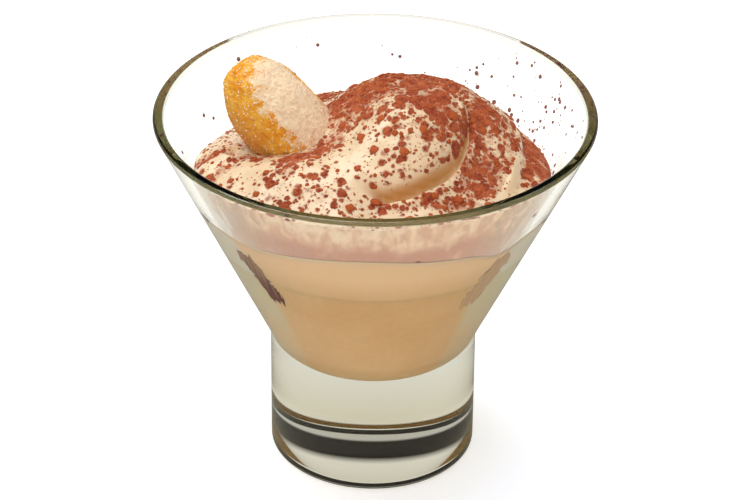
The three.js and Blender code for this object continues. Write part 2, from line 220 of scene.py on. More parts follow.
def lumps_at(octaves, *coordinates):
    """The same noise from coordinates that are already measured in lumps."""
    return lumps(np.column_stack(np.broadcast_arrays(*coordinates)), 1.0, octaves)


def azimuth_of(x, y):
    """The azimuth of a place round the glass's axis, in degrees."""
    return np.degrees(np.arctan2(y, x))


def around(radius, azimuth, height):
    """Points from their distance to the axis, azimuth and height, one row each."""
    angle = np.radians(azimuth)
    return np.column_stack([radius * np.cos(angle), radius * np.sin(angle), height])


# ---- The dessert's form, in millimetres -----------------------------------------------------

CONE_SLOPE = (RIM_RADIUS - FOOT_RADIUS) / (GLASS_HEIGHT - CREASE_HEIGHT)
CONE_SECANT = math.hypot(1, CONE_SLOPE)
CONE_TILT = math.degrees(math.atan(CONE_SLOPE))


def cone_radius(height, inside):
    """Radius of the cone at a height, a given distance inside its outer face."""
    return FOOT_RADIUS + CONE_SLOPE * (height - CREASE_HEIGHT) - inside * CONE_SECANT


# The middle of the round fillet between the bowl's floor and the cone.
BOWL_HEIGHT = BOWL_FLOOR_HEIGHT + BOWL_FLOOR_FILLET
BOWL_RADIUS = cone_radius(BOWL_HEIGHT, WALL_THICKNESS + BOWL_FLOOR_FILLET)


def food_radius(height):
    """Radius that the food fills at a height, just into the glass."""
    return cone_radius(height, WALL_THICKNESS - INTO_GLASS)


def fill_line(azimuth):
    """Height of the line where the cream meets the glass, by azimuth in degrees."""
    waves = (rise * bell(turn_between(azimuth, at), width) for at, width, rise in FILL_WAVES)
    return FILL_HEIGHT + sum(waves)


def round_spiral(x, y):
    """Azimuth round the spiral's centre in degrees, and how far a place is outside the dollop's
    edge and outside the outer fold's."""
    dx, dy = x - SPIRAL_CENTRE[0], y - SPIRAL_CENTRE[1]
    distance, angle = np.hypot(dx, dy), azimuth_of(dx, dy)
    past_cap = distance - CAP_RADIUS - CAP_GROWTH * np.clip(-angle, 0, -CAP_TURN[0])
    return angle, past_cap, distance - (FOLD_RADIUS - FOLD_SHRINK * angle)


def cap_fold(angle, past):
    """The inner fold: the dollop's flank rolls down into a crease, with raised edges beside it."""
    flank = np.clip((past + CAP_ROLL) / CAP_ROLL, 0, 1) ** CAP_CURVE
    depth = mix(*CAP_DROP, 1 - smooth(*CAP_DROP_TURN, angle))
    drop = depth * flank * np.exp(-np.maximum(past, 0) / CAP_FADE)
    raised = sum(
        height * bell(past - at, width) * between(angle, *turn) for height, at, width, turn in RAISED_EDGES
    )
    return between(angle, *CAP_TURN) * (raised - drop)


def outer_fold(angle, past):
    """The outer fold, a soft step down towards the glass on the right."""
    step = smooth(-FOLD_ROLL, FOLD_ROLL, past) * np.exp(-np.maximum(past, 0) / FOLD_FADE)
    return -FOLD_DROP * between(angle, *FOLD_TURN) * step


def cream_top(x, y):
    """Height of the cream's top at a place, as the solid has it."""
    radius = np.hypot(x, y)
    line = fill_line(azimuth_of(x, y))
    reach = cone_radius(line, WALL_THICKNESS)
    level = mix(FILL_HEIGHT, line, np.clip(radius / reach, 0, 1) ** 5)
    shoulder = SHOULDER_RISE * (1 - np.exp(-np.maximum(reach - radius, 0) / SHOULDER_REACH))
    lobes = sum(
        height * np.exp(-(oval(x, y, cx, cy, along, across, turn) ** power))
        for cx, cy, along, across, turn, height, power in LOBES
    )
    angle, past_cap, past_fold = round_spiral(x, y)
    return level + shoulder + lobes + cap_fold(angle, past_cap) + outer_fold(angle, past_fold)


def left_ripples(x, y):
    """The ripples that the spoon left between the biscuit and the glass, from -1 to 1."""
    turn = azimuth_of(x + 22, y - 4)
    return np.sin(turn / 4.2) * bell(oval(x, y, -38, -6, 7, 10, 0), 1)


def small_folds(x, y):
    """What the spoon left in the cream: the sharp lips of the folds, fine wavy creases, a dent by
    the biscuit and ripples at the glass."""
    places = np.column_stack([x, y, np.zeros_like(x)])
    angle, past_cap, past_fold = round_spiral(x, y)
    cap = past_cap + 0.25 * lumps(places, 5, 2)
    fold = past_fold + 0.4 * lumps(places + 50, 6, 2)
    lip = between(angle, -92, 14, 14) * (0.45 * bell(cap + 0.5, 0.5) - 0.9 * bell(cap - 0.35, 0.6))
    ridge = between(angle, -32, 30, 10) * (0.4 * bell(fold + 1.3, 0.7) - 0.4 * bell(fold - 0.4, 0.7))
    crest = 1 - np.abs(lumps(places * (1, 1.7, 1) + (3, 0, 0), 6.5, 2)) * 2.4
    swirled = bell(oval(x, y, -2, 6, 12, 8, 20), 1.0)
    dent = np.hypot(x + 33.6, y + 1.2)
    return (
        lip
        + ridge
        + 0.9 * swirled * np.clip(crest, 0, 1)
        + 0.34 * lumps(places, 9, 2)
        + 0.13 * lumps(places * (0.7, 1.3, 1), 2.8, 3)
        + 0.75 * left_ripples(x, y)
        - 2.4 * bell(dent, 2.0)
        + 0.6 * bell(dent - 3.2, 0.8) * smooth(-31, -35, x)
    )


def finished_top(x, y):
    """Height of the cream's finished top, folds and all. They fade out at the glass."""
    radius = np.hypot(x, y)
    reach = food_radius(fill_line(azimuth_of(x, y)))
    return cream_top(x, y) + small_folds(x, y) * smooth(0, 3, reach - radius)


def dust_thickness(x, y):
    """How much cocoa lies at a place on the cream, from 0 to 1."""
    total = DUST_EVERYWHERE + 0.45 * smooth(14, 30, y)
    for cx, cy, along, across, turn, change in DUST_DRIFTS:
        total = total + change * bell(oval(x, y, cx, cy, along, across, turn), 1)
    angle, past_cap, past_fold = round_spiral(x, y)
    width = mix(0.75, 0.27, smooth(-72, -30, angle))
    bare_lip = 0.95 * bell(past_cap - 0.2, width) * between(angle, -112, 18, 12)
    bare_ridge = 0.4 * bell(past_fold + 0.8, 0.9) * between(angle, -40, 24, 10)
    return np.clip(total - bare_lip - bare_ridge - 0.35 * left_ripples(x, y), 0, 1)


def crease_shade(x, y):
    """How deep in the inner fold a place lies, from 0 to 1: the cream gets painted shade there, darker and
    warmer.
    """
    angle, past_cap, _ = round_spiral(x, y)
    return bell(past_cap + 0.25, 0.65) * between(angle, -98, -5, 14)


def from_front(azimuth):
    """Degrees from the front to an azimuth, on either side."""
    return np.abs(turn_between(azimuth, -90))


def hand(azimuth):
    """1 on the right of the glass and -1 on its left."""
    return np.where(np.abs(azimuth) < 90, 1.0, -1.0)


def at_the_sides(azimuth):
    """1 at the glass's left and right, 0 in front between the streaks and at the back."""
    return between(from_front(azimuth), 68, 86, 18)


def shown_in_streaks(azimuth, lean=0):
    """How strongly the cocoa layer shows at the glass on each side of the front, from 0 to 1."""
    middle, half, shoulder = LAYER_STREAK
    return between(from_front(azimuth) - lean, middle - half, middle + half, shoulder)


def lean_at(height):
    """How far the streaks lean away from the front at a height, in degrees."""
    return LAYER_LEAN * np.maximum(height - LAYER_WALL_HEIGHT, -LAYER_HALF_FRONT) / LAYER_HALF_FRONT


def shown_at_back(azimuth):
    """How strongly the cocoa layer shows at the glass towards the back, from 0 to 1."""
    return bell(from_front(azimuth) - LAYER_BACK, LAYER_BACK_WIDTH)


def layer_middle(azimuth, share):
    """Middle height of the cocoa layer, by azimuth and share of the radius."""
    at_wall = LAYER_WALL_HEIGHT - LAYER_BACK_DIP * shown_at_back(azimuth)
    return mix(LAYER_HEIGHT, at_wall, share**2)


# ---- Modelling helpers ----------------------------------------------------------------------

DRUM_RADIUS = 20.0          # of the plain drums that the layers are shaped from
RIM_SHARE = 0.999           # a share of a drum's radius above this is its wall


def deselect_all():
    bpy.ops.object.select_all(action="DESELECT")


def just_added(name):
    """The primitive that was just added, under its own name."""
    piece = bpy.context.object
    piece.name = piece.data.name = name
    return piece


def read_vertices(piece, what):
    """A vector of each vertex, such as its place or its normal, one row each."""
    flat = np.empty(len(piece.data.vertices) * 3, np.float32)
    piece.data.vertices.foreach_get(what, flat)
    return flat.reshape(-1, 3).astype(float)


def points_of(piece):
    """The piece's vertices in millimetres, one row each."""
    return read_vertices(piece, "co") / MM


def place_points(piece, points):
    """Moves the piece's vertices to these places in millimetres."""
    piece.data.vertices.foreach_set("co", (points * MM).astype(np.float32).ravel())
    piece.data.update()


def set_attribute(piece, name, values):
    """Stores a number for each vertex under a name that the piece's material reads."""
    attribute = piece.data.attributes.new(name, "FLOAT", "POINT")
    attribute.data.foreach_set("value", np.asarray(values, np.float32))


def face_outward():
    """Turns the active piece's faces outwards and shades them smooth."""
    bpy.ops.object.mode_set(mode="EDIT")
    bpy.ops.mesh.select_all(action="SELECT")
    bpy.ops.mesh.normals_make_consistent(inside=False)
    bpy.ops.object.mode_set(mode="OBJECT")
    bpy.ops.object.shade_smooth()


def turned(name, profile, steps):
    """A closed solid turned round Z from a profile of (radius, height) points in millimetres
    that starts and ends on the axis."""
    deselect_all()
    bpy.ops.mesh.primitive_circle_add(vertices=len(profile), radius=MM)
    piece = just_added(name)
    place_points(piece, np.array([(r, 0.0, z) for r, z in profile]))
    bpy.ops.object.mode_set(mode="EDIT")
    bpy.ops.mesh.select_all(action="DESELECT")
    bpy.ops.object.mode_set(mode="OBJECT")
    for edge in piece.data.edges:
        edge.select = all(piece.data.vertices[v].co.x < 0.01 * MM for v in edge.vertices)
    bpy.ops.object.mode_set(mode="EDIT")
    bpy.ops.mesh.select_mode(type="EDGE")
    bpy.ops.mesh.delete(type="EDGE")
    bpy.ops.mesh.select_all(action="SELECT")
    bpy.ops.mesh.spin(steps=steps, angle=2 * math.pi, center=(0, 0, 0), axis=(0, 0, 1))
    bpy.ops.mesh.select_all(action="SELECT")
    bpy.ops.mesh.remove_doubles(threshold=0.001 * MM)
    bpy.ops.mesh.select_mode(type="VERT")
    bpy.ops.object.mode_set(mode="OBJECT")
    face_outward()
    return piece


def drum(name, levels, first, last, steps):
    """A plain drum, to be shaped, with rings on its wall at these levels and so many on its first
    and its last end. Given with each vertex's azimuth, share of the radius and level."""
    start = [(DRUM_RADIUS * k / first, levels[0]) for k in range(first)]
    wall = [(DRUM_RADIUS, level) for level in levels]
    end = [(DRUM_RADIUS * (1 - k / last), levels[-1]) for k in range(1, last + 1)]
    piece = turned(name, [*start, *wall, *end], steps)
    x, y, level = points_of(piece).T
    return piece, azimuth_of(x, y), np.hypot(x, y) / DRUM_RADIUS, level


def crisp_edges(piece):
    """Smooth shading, but for the edges where a layer turns from the wall."""
    deselect_all()
    piece.select_set(True)
    bpy.context.view_layer.objects.active = piece
    bpy.ops.object.shade_smooth_by_angle(angle=math.radians(50))


def finish_piece(piece, material, slot, *replaced):
    """Gives a piece its material, lets it ride on the body and stand for its solids."""
    piece.data.materials.clear()
    piece.data.materials.append(material)
    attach(piece, "root")
    if replaced:
        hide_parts(*replaced)


def scattered(name, lump, spots, normals, sizes, turns):
    """One mesh of many copies of a small irregular lump, each set on a spot, along its normal, at
    its own size and turn. The lump is its detail, roughness, seed and height as a share of its
    size."""
    detail, roughness, seed, squash = lump
    deselect_all()
    bpy.ops.mesh.primitive_ico_sphere_add(subdivisions=detail, radius=MM)
    template = bpy.context.object
    shape = points_of(template)
    shape = shape * (1 + roughness * lumps(shape + seed, 0.8, 1))[:, None] * (1, 1, squash)
    faces = np.array([face.vertices[:] for face in template.data.polygons])
    bpy.data.objects.remove(template)
    copies = []
    for spot, normal, size, turn in zip(spots, normals, sizes, turns, strict=True):
        tilt = Vector((0, 0, 1)).rotation_difference(Vector(normal)).to_matrix()
        stance = tilt @ Matrix.Rotation(turn, 3, "Z")
        copies.append(shape @ np.array(stance.transposed()) * size + spot)
    firsts = len(shape) * np.arange(len(copies))[:, None, None]
    mesh = bpy.data.meshes.new(name)
    mesh.from_pydata((np.concatenate(copies) * MM).tolist(), [], (faces + firsts).reshape(-1, 3).tolist())
    piece = bpy.data.objects.new(name, mesh)
    bpy.context.scene.collection.objects.link(piece)
    return piece


# ---- Material helpers -----------------------------------------------------------------------


def linear(hex_colour):
    """A linear RGBA colour from an sRGB one such as 'f0d3a0'."""
    channels = [int(hex_colour[i : i + 2], 16) / 255 for i in (0, 2, 4)]
    return (*(c / 12.92 if c <= 0.04045 else ((c + 0.055) / 1.055) ** 2.4 for c in channels), 1.0)


def node(tree, kind, inputs=(), out=0, **settings):
    """Adds a shader node, sets its properties, and gives its inputs values or links, in order or
    by name. Returns the output asked for, or all of them when out is None."""
    made = tree.nodes.new("ShaderNode" + kind)
    for name, value in settings.items():
        setattr(made, name, value)
    for name, value in inputs.items() if isinstance(inputs, dict) else enumerate(inputs):
        if isinstance(value, bpy.types.NodeSocket):
            tree.links.new(value, made.inputs[name])
        else:
            made.inputs[name].default_value = value
    return made.outputs if out is None or not made.outputs else made.outputs[out]


def emptied(owner):
    """Empties a material or a world, and returns the function that adds nodes to it."""
    owner.use_nodes = True
    owner.node_tree.nodes.clear()
    return partial(node, owner.node_tree)


def new_material(name, *attributes):
    """An empty material, the function that adds nodes to it, its Object coordinates, and the
    numbers that it reads from its piece."""
    material = bpy.data.materials.new(name)
    add = emptied(material)
    read = (add("Attribute", out="Fac", attribute_name=each) for each in attributes)
    return material, add, add("TexCoord", out="Object"), *read


def layered(add, colour, *layers):
    """A colour with others laid over it in turn, each by its share."""
    for share, over in layers:
        colour = add("Mix", {0: share, 6: colour, 7: over}, 2, data_type="RGBA")
    return colour


def weighted(add, total, *terms):
    """A number with other values added to it, each times its weight."""
    for value, weight in terms:
        total = add("Math", (value, weight, total), operation="MULTIPLY_ADD")
    return total


def opaque(add, inputs, lit_through=0.0, reach=(0, 0, 0)):
    """Ends a material in an opaque surface. A share of the light goes in, and reaches so many
    millimetres in red, green and blue."""
    if lit_through:
        radii = [length * MM for length in reach]
        inputs |= {"Subsurface Weight": lit_through, "Subsurface Radius": radii, "Subsurface Scale": 1.0}
    add("OutputMaterial", (add("BsdfPrincipled", inputs),))


def flecks(add, place, amount, cell, reach):
    """A mask of round irregular flecks, with one candidate in each cell of a size in millimetres.
    The amount, from 0 to 1, says how large they grow, and reach how far at most, in cells."""
    soft_edge = 0.07
    cells = add("TexVoronoi", {"Vector": place, "Scale": 1 / (cell * MM)}, None)
    chance = add("SeparateColor", (cells["Color"],))
    grown = add("Math", (amount, weighted(add, 0.2, (chance, 0.8))), operation="MULTIPLY")
    inside = weighted(add, 0.0, (cells["Distance"], -1.0), (grown, reach))
    return add("MapRange", (inside, -soft_edge, soft_edge))


def folded_tan(add, place, settings):
    """The mousse's tan with the pale whirls, 22 mm wide, that folding leaves."""
    whirls = add("TexNoise", {"Vector": place, "Scale": 1 / (22 * MM), "Detail": 3, "Distortion": 1.2})
    return layered(add, settings.mousse_colour, (whirls, settings.mousse_pale))


# ---- Materials ------------------------------------------------------------------------------


def pressed_glass():
    """Pressed soda-lime glass, fire-polished: clear and sharp, with the faint olive tint of its
    iron, which shows where the eye looks through centimetres of it, as in the foot. The lip has
    painted shade in its colour: dark olive in front, where the eye looks down the wall, and pale grey at the
    back."""
    material, add, place = new_material("pressed soda-lime glass")
    axes = add("SeparateXYZ", (place,), None)
    edge = GLASS_HEIGHT - LIP_RADIUS
    # Painted shade on the lip: dark olive towards the front, pale grey at the back.
    on_lip = add("MapRange", (axes["Z"], (edge - 0.45) * MM, (edge - 0.25) * MM))
    to_front = add("MapRange", (axes["Y"], 24 * MM, -4 * MM))
    lip = layered(add, linear("cacac6"), (to_front, linear("7a8a66")))
    colour = layered(add, (1, 1, 1, 1), (on_lip, lip))
    polished = {"Base Color": colour, "Roughness": 0.0, "IOR": 1.52, "Transmission Weight": 1.0}
    clear = add("BsdfPrincipled", polished)
    through = add("BsdfTransparent", ((0.97, 0.98, 0.96, 1),))
    surface = add("MixShader", (add("LightPath", out="Is Shadow Ray"), clear, through))
    tint = add("VolumeAbsorption", (linear("d5d2bf"), 42.0))
    add("OutputMaterial", (surface, tint))
    return material


def coffee_mousse(settings):
    """Coffee mousse set in the glass: an even, matt tan, with pores and pale whirls from folding."""
    material, add, place, side = new_material("folded coffee mousse", "side")
    pores = add("TexNoise", {"Vector": place, "Scale": 1 / (1.6 * MM), "Detail": 4})
    colour = layered(add, folded_tan(add, place, settings), (side, settings.mousse_side))
    fine = add("MapRange", (pores, 0, 1, 0.93, 1.05))
    colour = add("VectorMath", {0: colour, "Scale": fine}, operation="SCALE")
    bump = add("Bump", {"Height": pores, "Strength": 0.2, "Distance": 0.2 * MM})
    opaque(add, {"Base Color": colour, "Roughness": 0.6, "Normal": bump}, 0.35, (4, 2.4, 1.2))
    return material


def cocoa_powder(settings, name, dark, light):
    """Alkalised cocoa powder: a dull red-brown with no shine, darker where the cream wets it and
    paler and greyer where cream is stirred into it."""
    material, add, place, stirred = new_material(name, "stirred")
    grains = add("TexNoise", {"Vector": place, "Scale": 1 / (0.7 * MM), "Detail": 3})
    patches = add("TexNoise", {"Vector": place, "Scale": 1 / (5 * MM), "Detail": 2})
    share = weighted(add, -0.05, (grains, 0.6), (patches, 0.5))
    colour = layered(add, dark, (share, light), (stirred, settings.stirred_colour))
    bump = add("Bump", {"Height": grains, "Strength": 0.6, "Distance": 0.15 * MM})
    opaque(add, {"Base Color": colour, "Roughness": 0.9, "Specular IOR Level": 0.2, "Normal": bump})
    return material


def dusted_cream(settings):
    """Mascarpone cream with sifted cocoa: soft, faintly wet, lit from within, under flecks and
    drifts of dull red-brown powder that stand a little proud."""
    material, add, place, dust, side, pressed, shade = new_material(
        "sifted cocoa on mascarpone cream", "dust", "side", "pressed", "shade"
    )
    wobble = add("TexNoise", {"Vector": place, "Scale": 1 / (1.1 * MM), "Detail": 4}, "Color")
    shift = add("VectorMath", {0: wobble, "Scale": 0.8 * MM}, operation="SCALE")
    bent = add("VectorMath", (place, shift))
    round_ones = add("Mapping", {"Vector": bent, "Scale": (0.95, 1.0, 0.9)})
    drawn = add("Mapping", {"Vector": bent, "Scale": (0.72, 1.0, 0.85)})
    streaks, fine, grains, clots, whirls = (
        add("TexNoise", {"Vector": at, "Scale": 1 / (size * MM), "Detail": detail})
        for at, size, detail in (
            (drawn, 4.5, 3), (drawn, 1.5, 4), (place, 0.5, 2), (place, 1.8, 3), (place, 14, 2)
        )
    )
    uneven = add("Math", (dust, weighted(add, 0.5, (streaks, 1.0))), operation="MULTIPLY")
    drift = add("MapRange", (weighted(add, -0.55, (uneven, 1.0), (fine, 1.1)), 0.56, 1.12))
    mask = drift
    for cell, reach in ((3.2, 1.0), (1.7, 0.9), (0.9, 0.68)):
        mask = add("Math", (mask, flecks(add, round_ones, uneven, cell, reach)), operation="MAXIMUM")
    loose = weighted(add, -1.18, (grains, 1.3), (clots, 1.6), (drift, 0.18))
    cocoa = layered(add, settings.cocoa_dark, (loose, settings.cocoa_colour), (side, settings.wet_dark))
    upper = add("MapRange", (add("SeparateXYZ", (place,), "Z"), 62 * MM, 71 * MM))
    colour = layered(
        add,
        settings.cream_colour,
        (whirls, settings.cream_pale),
        (side, settings.side_colour),
        (pressed, layered(add, folded_tan(add, place, settings), (upper, settings.mousse_top))),
        # Painted shade, darker and warmer: deep in the inner fold, and in a thin line where the cream meets
        # the glass.
        (shade, settings.shade_colour),
        (mask, cocoa),
    )
    rough = add("MapRange", (mask, 0, 1, 0.27, 0.9))
    height = add("Math", (mask, weighted(add, 0.6, (loose, 1.0))), operation="MULTIPLY")
    bump = add("Bump", {"Height": height, "Strength": 0.6, "Distance": 0.22 * MM})
    opaque(add, {"Base Color": colour, "Roughness": rough, "Normal": bump}, 0.3, (5, 3, 1.5))
    return material


def smeared_cream(settings):
    """A thin smear of cream on glass with cocoa caught in it: pinkish, in upright pale and dusky
    strokes, and lit through."""
    material, add, place, dusk, thin, clear = new_material(
        "cream and cocoa smeared on glass", "dusk", "thin", "clear"
    )
    drawn = add("Mapping", {"Vector": place, "Scale": (1.0, 1.0, 0.16)})
    strokes = add("TexNoise", {"Vector": drawn, "Scale": 1 / (2.4 * MM), "Detail": 4, "Distortion": 0.4})
    fine = add("TexNoise", {"Vector": drawn, "Scale": 1 / (0.9 * MM), "Detail": 2})
    patches = add("TexNoise", {"Vector": place, "Scale": 1 / (7 * MM), "Detail": 2})
    mixed = weighted(add, 0.0, (strokes, 0.6), (patches, 0.4))
    in_strokes = add("MapRange", (mixed, 0.32, 0.44, 0.7))
    dusk = add("Math", (dusk, in_strokes), operation="MULTIPLY")
    in_wisps = add("MapRange", (mixed, 0.38, 0.52, 0.35))
    thin = add("Math", (thin, in_wisps), operation="MULTIPLY")
    colour = layered(
        add,
        settings.smear_colour,
        (add("MapRange", (mixed, 0.42, 0.58)), settings.smear_dusty),
        (dusk, settings.smear_dusk),
        (thin, settings.smear_thin),
        (clear, settings.smear_film),
    )
    # Painted sheen: fine upright strokes make the smear's colour brighter and darker.
    shine = add("MapRange", (fine, 0, 1, 0.78, 1.16))
    colour = add("VectorMath", {0: colour, "Scale": shine}, operation="SCALE")
    opaque(add, {"Base Color": colour, "Roughness": 0.5}, 0.8, (4, 2.6, 1.8))
    return material


def baked_sponge(settings):
    """A baked sponge finger: a golden porous crust, darker and browner on its lower left side with
    painted shade, with a dull pale crust of sugar on its top."""
    material, add, place, frost, painted_underside_shade = new_material("baked sponge finger", "sugar", "painted_underside_shade")
    blotches = add("TexNoise", {"Vector": place, "Scale": 1 / (2.6 * MM), "Detail": 4, "Distortion": 0.6})
    grains = add("TexNoise", {"Vector": place, "Scale": 1 / (0.5 * MM), "Detail": 3})
    pores = add("TexVoronoi", {"Vector": place, "Scale": 1 / (1.5 * MM)}, feature="SMOOTH_F1")
    patchy = weighted(add, -1.25, (frost, 1.0), (blotches, 1.6), (grains, 0.9))
    colour = layered(
        add,
        settings.crust_colour,
        (add("MapRange", (blotches, 0.35, 0.65)), settings.crust_pale),
        # Painted shade: the crust is darker and browner on the biscuit's lower left side.
        (painted_underside_shade, settings.crust_painted_shade),
        (add("MapRange", (patchy, 0.46, 0.70, 0, 0.92)), settings.sugar_colour),
    )
    height = weighted(add, 0.0, (pores, 0.8), (grains, 0.5))
    bump = add("Bump", {"Height": height, "Strength": 0.75, "Distance": 0.5 * MM})
    opaque(add, {"Base Color": colour, "Roughness": 0.75, "Normal": bump}, 0.15, (2, 1.2, 0.6))
    return material


def sugar_crystal(settings):
    """Granulated sugar: small pale crystals that read as white sparks."""
    material, add, _ = new_material("granulated sugar")
    opaque(add, {"Base Color": settings.sugar_colour, "Roughness": 0.25, "IOR": 1.54})
    return material


# ---- Settings -------------------------------------------------------------------------------


def colour_setting(name, description, hex_colour):
    """A colour property with an sRGB default."""
    return FloatVectorProperty(
        name=name, description=description, subtype="COLOR", size=4, min=0, max=1, default=linear(hex_colour)
    )


class DessertGlassSettings(bpy.types.PropertyGroup):
    steps: IntProperty(name="Steps", description="Divisions round the glass", default=192, min=32)


class DessertFoodSettings(bpy.types.PropertyGroup):
    mousse_colour: colour_setting("Mousse", "The coffee mousse", "dcac6e")
    mousse_pale: colour_setting("Mousse whirls", "Its paler whirls", "ecc690")
    mousse_top: colour_setting("Creamy mousse", "The mousse above the cocoa layer, at the glass", "f8d2a2")
    mousse_side: colour_setting("Mousse at the sides", "The mousse beyond the cocoa streaks", "ddd0a8")
    cream_colour: colour_setting("Cream", "The mascarpone cream", "e6c496")
    cream_pale: colour_setting("Cream whirls", "Its paler whirls", "f5dfbe")
    # Painted shade: the cream deep in the inner fold, and a thin line along the fill line at the glass.
    shade_colour: colour_setting("Cream in creases", "The cream deep in a fold", "c98c48")
    side_colour: colour_setting("Cream at the glass", "The cream pressed against the glass", "ebe0c8")
    smear_colour: colour_setting("Smear", "Cream smeared on the glass", "ecbe9e")
    smear_dusty: colour_setting("Dusty smear", "The smear where cocoa sticks to it", "c28a6e")
    smear_dusk: colour_setting("Foot of the smear", "The smear just above the fill line", "9e6649")
    smear_thin: colour_setting("Ends of the smear", "The smear where it thins out to both sides", "8f765c")
    smear_film: colour_setting("Film", "The pale film beyond the smear", "c9c9bc")
    speck_colour: colour_setting("Specks", "Single grains of cocoa on the glass", "b09090")
    cocoa_colour: colour_setting("Cocoa", "Dry cocoa powder", "d0703e")
    cocoa_dark: colour_setting("Dark cocoa", "Cocoa in its hollows", "84280a")
    wet_colour: colour_setting("Wet cocoa", "Cocoa between the cream and the glass", "842f06")
    wet_dark: colour_setting("Dark wet cocoa", "Its darker grains", "341002")
    stirred_colour: colour_setting("Stirred cocoa", "Cocoa stirred into cream, in the streaks", "d8b48a")
    crust_colour: colour_setting("Crust", "The baked sponge", "e8940c")
    crust_pale: colour_setting("Pale crust", "Where it is less baked", "f4bc42")
    # Painted shade: the crust's darker colour on the biscuit's lower left side.
    crust_painted_shade: colour_setting("Brown crust", "Where the oven caught it", "c9803a")
    sugar_colour: colour_setting("Sugar", "The sugar crust", "fce2c0")
    crumbs: IntProperty(name="Crumbs", description="Small cocoa crumbs on the cream", default=3000, min=0)
    specks: IntProperty(name="Specks", description="Cocoa specks on the glass", default=380, min=0)
    grains: IntProperty(name="Sugar grains", description="Sugar grains on the biscuit", default=1500, min=0)
    seed: IntProperty(name="Seed", description="Seed of every random draw", default=7, min=0)


class DessertStageSettings(bpy.types.PropertyGroup):
    lens: FloatProperty(name="Lens", description="Focal length", default=147.376, min=1, unit="CAMERA")
    distance: FloatProperty(
        name="Distance", description="From the camera to where it aims", default=0.75, min=0.1, unit="LENGTH"
    )
    elevation: FloatProperty(
        name="Elevation", description="Height of the camera", default=math.radians(30.67), subtype="ANGLE"
    )
    roll: FloatProperty(
        name="Roll", description="Tilt of the camera", default=math.radians(0.607), subtype="ANGLE"
    )
    aim: FloatVectorProperty(
        name="Aim", description="Where the camera aims", default=(0.000247, 0, 0.05423), subtype="TRANSLATION"
    )


# ---- Operators ------------------------------------------------------------------------------


class DESSERT_OT_stage(bpy.types.Operator):
    """Add the pale floor, the soft studio light and the camera"""

    bl_idname = "dessert.stage"
    bl_label = "Stage"

    def execute(self, context):
        scene = context.scene
        self.add_camera(scene, scene.dessert_stage)
        self.add_floor()
        self.add_light(scene)
        self.add_world(scene)
        scene.view_settings.view_transform = "Standard"
        # Light runs many times from side to side in the lip and in the foot.
        scene.cycles.max_bounces = 24
        scene.cycles.glossy_bounces = 20
        scene.cycles.transmission_bounces = 20
        return {"FINISHED"}

    def add_camera(self, scene, settings):
        """A long lens in front of the dessert and above it."""
        data = bpy.data.cameras.new("camera")
        data.lens = settings.lens
        data.sensor_width = 36
        tilt = Matrix.Rotation(math.pi / 2 - settings.elevation, 4, "X")
        turn = tilt @ Matrix.Rotation(settings.roll, 4, "Z")
        back = Matrix.Translation((0, 0, settings.distance))
        camera = bpy.data.objects.new("camera", data)
        camera.matrix_world = Matrix.Translation(settings.aim) @ turn @ back
        scene.collection.objects.link(camera)
        scene.camera = camera

    def add_floor(self):
        """A large white tabletop just below the foot. It is brighter to the camera, and through the
        glass, than it lights the dessert, as a background is that has its own light. What the
        dessert mirrors of it is darker, and its glow is painted light that turns cooler in a ring round the
        foot."""
        deselect_all()
        below_foot = (0, 0, -0.3 * MM)
        bpy.ops.mesh.primitive_circle_add(vertices=96, radius=4.0, fill_type="NGON", location=below_foot)
        floor = just_added("floor")
        material, add, place = new_material("white tabletop")
        rays = add("LightPath", out=None)
        glow = weighted(add, 0.0, (rays["Is Camera Ray"], 0.5), (rays["Is Transmission Ray"], 1.1))
        away = add("VectorMath", (place,), "Value", operation="LENGTH")
        # Painted light: the floor's glow turns bluer in a ring from 30 mm out, and back to near white past 56
        # to 72 mm.
        near_foot = add("MapRange", (away, 30 * MM, 52 * MM))
        beyond = add("MapRange", (away, 56 * MM, 72 * MM))
        tone = layered(add, (1, 1, 1, 1), (near_foot, (1.1, 1.17, 1.42, 1)), (beyond, (1, 1, 0.97, 1)))
        base = layered(add, (0.80, 0.80, 0.79, 1), (rays["Is Glossy Ray"], (0.35, 0.335, 0.29, 1)))
        opaque(add, {"Base Color": base, "Roughness": 0.8, "Emission Color": tone, "Emission Strength": glow})
        floor.data.materials.append(material)

    def add_light(self, scene):
        """A softbox above, behind and to the left."""
        data = bpy.data.lights.new("softbox above", "AREA")
        data.shape = "SQUARE"
        data.size = 0.8
        data.energy = 8
        light = bpy.data.objects.new("softbox above", data)
        place, aim = Vector((-0.30, 0.22, 1.15)), Vector((0, 0, 0.06))
        light.location = place
        light.visible_transmission = False
        light.rotation_euler = (place - aim).to_track_quat("Z", "Y").to_euler()
        scene.collection.objects.link(light)

    def add_world(self, scene):
        """A pale room. What the dessert mirrors and bends is dimmer than what the eye sees."""
        world = bpy.data.worlds.new("room")
        add = emptied(world)
        axes = add("SeparateXYZ", (add("TexCoord", out="Generated"),), None)
        above = add("MapRange", (axes["Z"], 0.62, 0.70, 0, 0.7))
        low = add("MapRange", (axes["Z"], 0.38, 0.34, 0, 0.45))
        front = add("MapRange", (axes["Y"], -0.2, -0.7, 0, 1.2))
        rays = add("LightPath", out=None)
        through = weighted(add, 1.0, (rays["Is Transmission Ray"], 1.2))
        room = add("Math", (above, low), operation="MAXIMUM")
        room = add("Math", (room, through), operation="MULTIPLY")
        for least in (front, 0.03):
            room = add("Math", (room, least), operation="MAXIMUM")
        tone = layered(add, (1, 1, 1, 1), (rays["Is Transmission Ray"], (0.98, 1.0, 1.07, 1)))
        lit = add("Background", (tone, room))
        seen = add("Background", ((0.93, 0.93, 0.93, 1), 1.0))
        add("OutputWorld", (add("MixShader", (rays["Is Camera Ray"], lit, seen)),))
        scene.world = world


